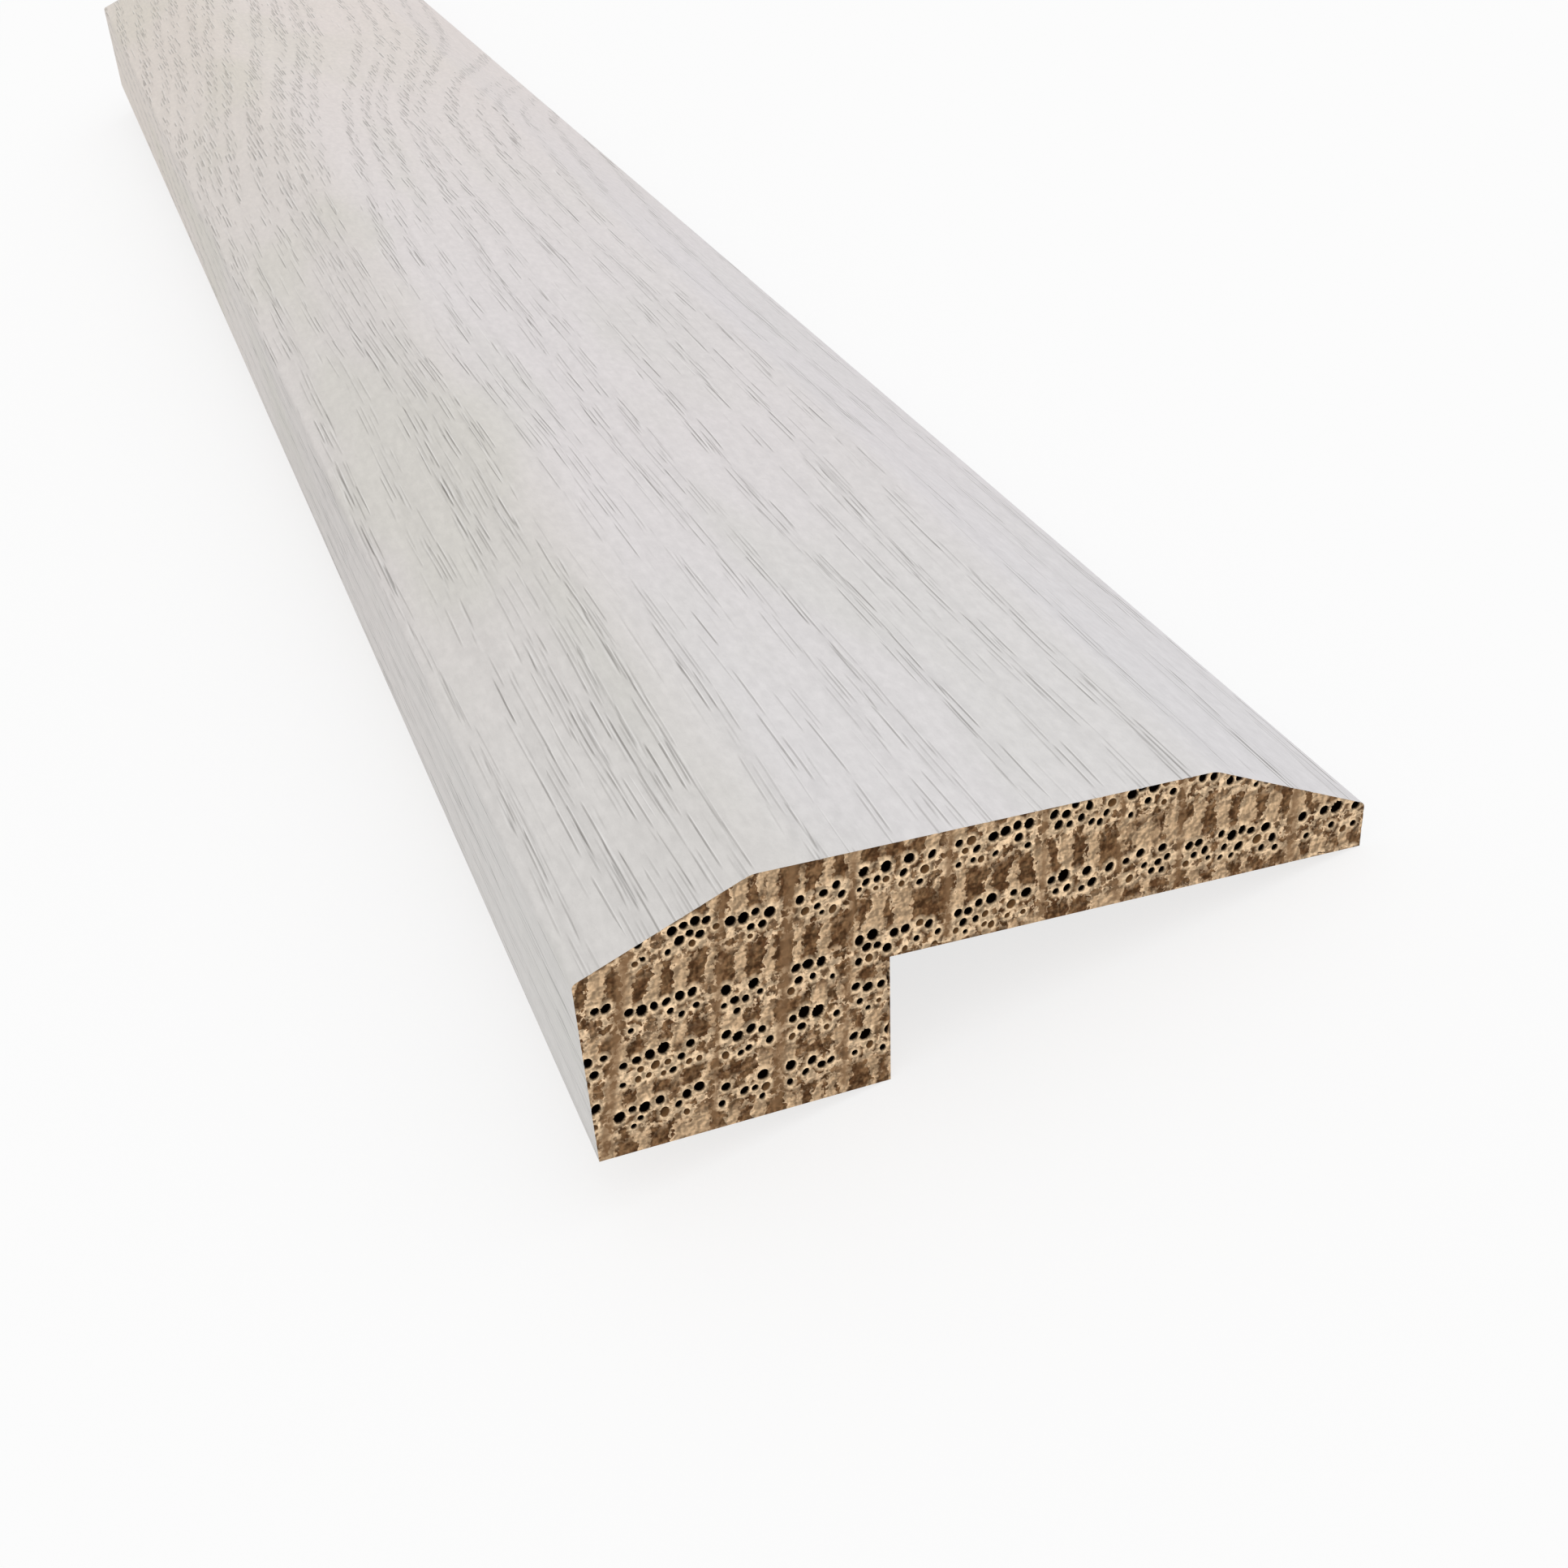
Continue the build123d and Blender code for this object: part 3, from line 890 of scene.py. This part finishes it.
# Bare planed oak underneath: tan, darker where a long noise is high, with pores where a short one is
def bareOak():
    look = dict(
        pale=tone(197, 168, 131), dark=tone(163, 130, 93), pore=tone(110, 80, 52),
        streakCells=(0.26, 0.009, 0.26), streakRange=(0.35, 0.68),
        poreCells=(2.6, 0.16, 2.6), poreEdge=(0.62, 0.74), poreShare=0.7,
        roughness=(0.64, 0.76), specular=0.3, bump=0.15, bumpDepth=0.0002,
    )
    material, tree, shader = newMaterial("bare_oak", look["specular"])
    streaks = noise(tree, cells(tree, *look["streakCells"]), 4.0, 0.6)
    shortPores = noise(tree, cells(tree, *look["poreCells"]), 1.0)
    colour = mixTone(tree, span(tree, streaks, *look["streakRange"]), look["pale"], look["dark"])
    inPore = span(tree, shortPores, *look["poreEdge"], 0.0, look["poreShare"])
    colour = mixTone(tree, inPore, colour, look["pore"])
    roughness = span(tree, streaks, *look["streakRange"], *look["roughness"])
    finishShader(tree, shader, colour, roughness, shortPores, look["bump"], look["bumpDepth"], invert=True)
    return material


for finish in (whiteWash(), sawnOak(), bareOak()):
    strip.data.materials.append(finish)
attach(strip, "root")
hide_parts("threshold_strip")
print("finishes set")

# The photograph's view, in mm in the section: where the camera stands, what it aims at and its roll
view = dict(
    stand=(-20.277, -97.216, 83.329), aim=(15.825, 8.625, 17.5), roll=2.035,
    lens=50.0, sensor=36.0, clipStart=0.005, clipEnd=50,
)


# Camera axes: it looks along the line to the aim, level with the section's up, then rolls about that line
def placeCamera():
    camera = bpy.data.objects.new("camera", bpy.data.cameras.new("camera"))
    bpy.context.scene.collection.objects.link(camera)
    eye, aim = inFrame(*view["stand"]), inFrame(*view["aim"])
    forward = Vector(aim - eye).normalized()
    right = forward.cross(Vector(upAxis)).normalized()
    right.rotate(Matrix.Rotation(np.radians(view["roll"]), 3, forward))
    up = right.cross(forward)
    camera.matrix_world = Matrix.LocRotScale(Vector(eye), Matrix((right, up, -forward)).transposed(), None)
    camera.data.lens, camera.data.sensor_width = view["lens"], view["sensor"]
    camera.data.clip_start, camera.data.clip_end = view["clipStart"], view["clipEnd"]
    bpy.context.scene.camera = camera


placeCamera()

# Studio: white floor to the horizon, an even sky and one soft lamp from above the lip
studio = dict(
    floorHalf=12.0, floorPale=(0.9, 0.9, 0.9, 1.0), floorGlow=0.75,
    sky=0.86, lamp=0.5, lampAngle=60, lampFrom=(0.45, -0.3, 0.85), white=(1, 1, 1, 1),
)


# Whether a ray sees what it meets, straight on, in a mirror or through glass: the largest of the three
def seenShare(tree):
    rays = addNode(tree, "ShaderNodeLightPath").outputs
    indirect = calc(tree, "MAXIMUM", rays["Is Glossy Ray"], rays["Is Transmission Ray"])
    return calc(tree, "MAXIMUM", rays["Is Camera Ray"], indirect)


# One flat square that takes shadows; where it is seen, part of its shade gives way to a white glow
def floorSheet():
    half = studio["floorHalf"]
    mesh = bpy.data.meshes.new("floor")
    corners = [(-half, -half, 0), (half, -half, 0), (half, half, 0), (-half, half, 0)]
    mesh.from_pydata(corners, [], [(0, 1, 2, 3)])
    floor = bpy.data.objects.new("floor", mesh)
    bpy.context.scene.collection.objects.link(floor)
    material, tree, shader = newMaterial("floor_white", 0.0)
    shader.inputs["Base Color"].default_value = studio["floorPale"]
    shader.inputs["Roughness"].default_value = 1.0
    glow = addNode(tree, "ShaderNodeEmission", {"Color": studio["white"], "Strength": 1.0})
    share = times(tree, seenShare(tree), studio["floorGlow"])
    blend = addNode(tree, "ShaderNodeMixShader", {0: share, 1: shader.outputs[0], 2: glow.outputs[0]})
    tree.links.new(blend.outputs[0], tree.nodes["Material Output"].inputs["Surface"])
    mesh.materials.append(material)


# An even sky that is plain white where it is seen, and a wide sun
def skyAndLamp():
    world = bpy.data.worlds.new("studio")
    world.use_nodes = True
    bpy.context.scene.world = world
    tree = world.node_tree
    strength = calc(tree, "MULTIPLY_ADD", seenShare(tree), 1 - studio["sky"], studio["sky"])
    background = tree.nodes["Background"]
    background.inputs["Color"].default_value = studio["white"]
    tree.links.new(strength, background.inputs["Strength"])
    lamp = bpy.data.objects.new("soft_lamp", bpy.data.lights.new("soft_lamp", "SUN"))
    lamp.data.energy, lamp.data.angle = studio["lamp"], np.radians(studio["lampAngle"])
    bpy.context.scene.collection.objects.link(lamp)
    lamp.rotation_euler = Vector(studio["lampFrom"]).to_track_quat("Z", "Y").to_euler()


floorSheet()
skyAndLamp()
bpy.context.scene.view_settings.view_transform = "Standard"
print("camera, floor and light set")
